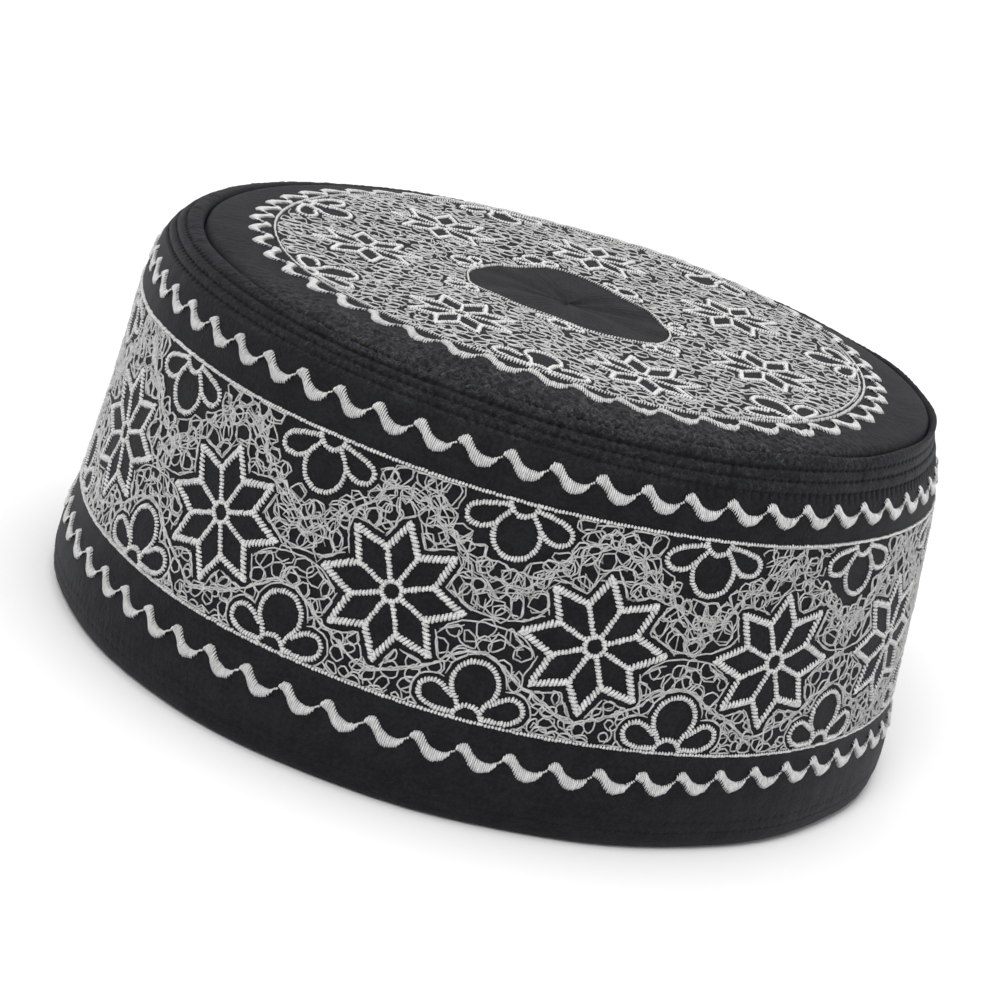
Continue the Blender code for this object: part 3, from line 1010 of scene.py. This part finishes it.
def buildBandLace(star, high, low):
    half = repeatWide / 2
    top, bottom = highLineS - starPlace["height"], lowLineS - starPlace["height"]
    starParts, flowerParts, closed = [], [], []
    for dx in (-repeatWide, 0, repeatWide):
        starParts += [line + (dx, 0) for _, line in star]
        closed.append(starCorners(star) + (dx, 0))
    for dx in (-half - repeatWide, -half, half, half + repeatWide):
        for lines, y in ((high, top), (low, bottom)):
            flowerParts += [line + (dx, y) for _, line in lines]
    closed += flowerParts
    starEdges, flowerEdges = segments(starParts), segments(flowerParts)
    garland = curveThrough(laceStyle["garland"], 6)
    lowWave = curveThrough(laceStyle["lowWave"], 6)
    midHigh, midLow = halves = np.array([laceStyle["midHigh"], laceStyle["midLow"]])
    mids = [np.vstack([p, (2 * p[-1, 0], 0) + p[-2::-1] * (-1, 1)]) for p in halves]

    # where the loops' middles may lie
    def free(q, extra):
        ok = distanceTo(q, *starEdges) > laceStyle["starMargin"] + extra
        ok &= distanceTo(q, *flowerEdges) > laceStyle["flowerMargin"] + extra
        folded = np.abs(q[:, 0])
        folded = np.where(folded > half, repeatWide - folded, folded)
        ok &= q[:, 1] < np.interp(folded, *np.array(laceStyle["ceiling"]).T) - 0.3
        gap = q[:, 1] < np.interp(folded, *midHigh.T) + 0.5 + extra
        gap &= q[:, 1] > np.interp(folded, *midLow.T) - 0.5 - extra
        return ok & ~inside(q, closed) & ~(gap & (folded > 10.0))

    def beside(q, distance):
        ok = (distanceTo(q, *starEdges) > distance) & (distanceTo(q, *flowerEdges) > distance)
        ok &= ~inside(q, closed)
        return ok & (q[:, 1] < top - 0.5) & (q[:, 1] > bottom + 0.5) & (np.abs(q[:, 0]) < half + 0.3)

    def cleared(path):
        path = clearOf(path, *starEdges, laceStyle["starMargin"])
        path = clearOf(path, *flowerEdges, laceStyle["flowerMargin"])
        path[:, 1] = np.clip(path[:, 1], bottom + 0.5, top - 0.5)
        return path

    paths = []
    for k in range(repeats):
        rng = np.random.default_rng(100 + k)
        place = (starU(k), starPlace["height"])

        def shaken(line, pitch, by):
            p = resample(line, pitch)[0]
            return p + rng.normal(0, by, p.shape)

        cand = np.stack([rng.uniform(-half, half, 4500), rng.uniform(bottom, top, 4500)], -1)
        cand = cand[free(cand, 0.35)]
        upper = cand[:, 1] > 0
        spacing = 2.35 + 0.9 * smooth(1.5, 4.2, distanceTo(cand, *segments([garland])))
        spacing = np.where(upper, spacing, np.where(cand[:, 1] < -11.5, 2.4, 3.0))
        loops = []
        for side, where in (("upper", upper), ("lower", ~upper)):
            loops += scribble(rng, spread(cand[where], spacing[where]), **loopStyles[side])
        fresh = [cleared(path) for path in loops]
        fresh += [cleared(shaken(garland, 3.2, by)) for by in (1.5, 1.2, 0.9)]
        fresh += [cleared(shaken(lowWave, 1.6, 0.26)) for _ in range(3)]
        fresh += [shaken(line, 1.5, 0.10) for line in mids]
        for kind, line in star:
            if kind == "outline":
                fresh += offsetRuns(line, 2.05, beside, rng)
        for dx in (-half, half):
            for _, line in low:
                fresh += offsetRuns(line + (dx, bottom), 1.6, beside, rng)
        for path in fresh:
            paths += [part + place for part in outsideOf(path, closed)]
    rng = np.random.default_rng(99)
    lifts = [rng.uniform(0.02, 0.24, len(path)) for path in paths]
    strands("band_lace", paths, lifts, bandPlace, laceStyle["radius"])


crownLace = {"radius": 0.175, "margin": 1.45, "spacing": 2.7, "candidates": 26000}


def buildCrownLace(lines, closed):
    rng = np.random.default_rng(77)
    edges = segments(lines)
    outerR = crownPattern["line"] - 1.2
    r = np.sqrt(rng.uniform(18.0 ** 2, outerR ** 2, crownLace["candidates"]))
    a = rng.uniform(0, turn, crownLace["candidates"])
    keep = r > middleEdge(a) + 1.2
    cand = polar(r[keep], a[keep])
    cand = cand[(distanceTo(cand, *edges) > crownLace["margin"] + 0.1) & ~inside(cand, closed)]
    spots = spread(cand, np.full(len(cand), crownLace["spacing"]))
    paths = []
    for path in scribble(rng, spots, **loopStyles["crown"]):
        paths += outsideOf(clearOf(path, *edges, crownLace["margin"]), closed)
    for path in paths:
        rr = np.hypot(*path.T)
        least = middleEdge(np.arctan2(path[:, 1], path[:, 0])) + 0.6
        path *= (np.clip(rr, least, outerR + 0.4) / rr)[:, None]
    lifts = [rng.uniform(0.0, 0.20, len(path)) for path in paths]
    strands("crown_lace", paths, lifts, crownSewn, crownLace["radius"])


def buildBlackStitches():
    rng = np.random.default_rng(16)
    per = quilting["perTurn"]
    pitch = turn * patternRadius / per
    groups = []
    for k, (base, grow, _, pull) in enumerate(stitchRows):
        start = (turn * np.arange(per) - 1.7 * k) / per * patternRadius
        wob = rng.normal(0, 0.05, (2, per))
        row = base - grow * drift(start / patternRadius)
        inset = 0.50 if pull > 0.9 else 0.62
        a = np.stack([start + inset, row + wob[0]], -1)
        b = np.stack([start + pitch - inset, row + wob[1]], -1)
        groups.append(np.stack([a, b], 1))
    satin("black_stitching", groups, bandPlace, stitching, 0.02, 0.13, 0.09)


buildBand()
buildCrown()
star, high, low = buildBandMotifs()
buildBorders()
buildBandWaves()
crownLines, crownClosed = buildCrownMotifs()
buildCrownTrim()
buildBandLace(star, high, low)
buildCrownLace(crownLines, crownClosed)
buildBlackStitches()

studio = {
    "floor": (0.88, 0.88, 0.88, 1),
    "world": 0.62,
    "key": {"at": (-1.7, -4.9, 6.6), "size": 3.6, "power": 300.0},
    "top": {"at": (0.60, 0.90, 7.8), "size": 5.0, "power": 250.0},
}


def buildStudio():
    bpy.ops.mesh.primitive_plane_add(size=12.0, location=(0, 0, 0))
    floor = bpy.context.object
    floor.name = "floor"
    material, tree, shader = startMaterial("floor paint")
    spots = addNode(tree, "TexNoise", {"Scale": 3.0, "Detail": 3.0}).outputs["Fac"]
    darker = tuple(c * 0.985 for c in studio["floor"][:3]) + (1,)
    tree.links.new(shades(tree, spots, (0.0, darker), (1.0, studio["floor"])), shader.inputs["Base Color"])
    shader.inputs["Roughness"].default_value = 0.9
    floor.data.materials.append(material)

    world = bpy.data.worlds.new("studio")
    world.use_nodes = True
    sky = world.node_tree.nodes["Background"]
    sky.inputs["Color"].default_value = (1, 1, 1, 1)
    sky.inputs["Strength"].default_value = studio["world"]
    bpy.context.scene.world = world

    for name in ("key", "top"):
        look = studio[name]
        data = bpy.data.lights.new(name, "AREA")
        data.shape = "DISK"
        data.size = look["size"]
        data.energy = look["power"]
        lamp = added(name, data)
        lamp.location = look["at"]
        lamp.rotation_euler = (-lamp.location).to_track_quat("-Z", "Y").to_euler()


shot = {"elevation": 21.2358, "roll": 15.7225, "distance": 0.6674, "lift": 0.00286,
        "aim": (-0.002345, 0.0, 0.035611), "lens": 105.11}


def buildCamera():
    e = math.radians(shot["elevation"])
    at = np.array([0, -math.cos(e), math.sin(e)]) * shot["distance"] + np.array([0, 0, shot["lift"]])
    forward = np.array(shot["aim"]) - at
    forward /= np.linalg.norm(forward)
    right = np.cross(forward, [0, 0, 1])
    right /= np.linalg.norm(right)
    up = np.cross(right, forward)
    c, s = polar(1.0, math.radians(shot["roll"]))
    data = bpy.data.cameras.new("camera")
    data.sensor_width = 36.0
    data.lens = shot["lens"]
    data.clip_start = 0.01
    camera = added("camera", data)
    place = np.eye(4)
    place[:3] = np.stack([c * right + s * up, c * up - s * right, -forward, at], -1)
    camera.matrix_world = Matrix(place.tolist())
    bpy.context.scene.camera = camera


buildStudio()
buildCamera()
bpy.context.scene.view_settings.view_transform = "Standard"
report("studio and camera ready")

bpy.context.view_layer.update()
report("sizes written")
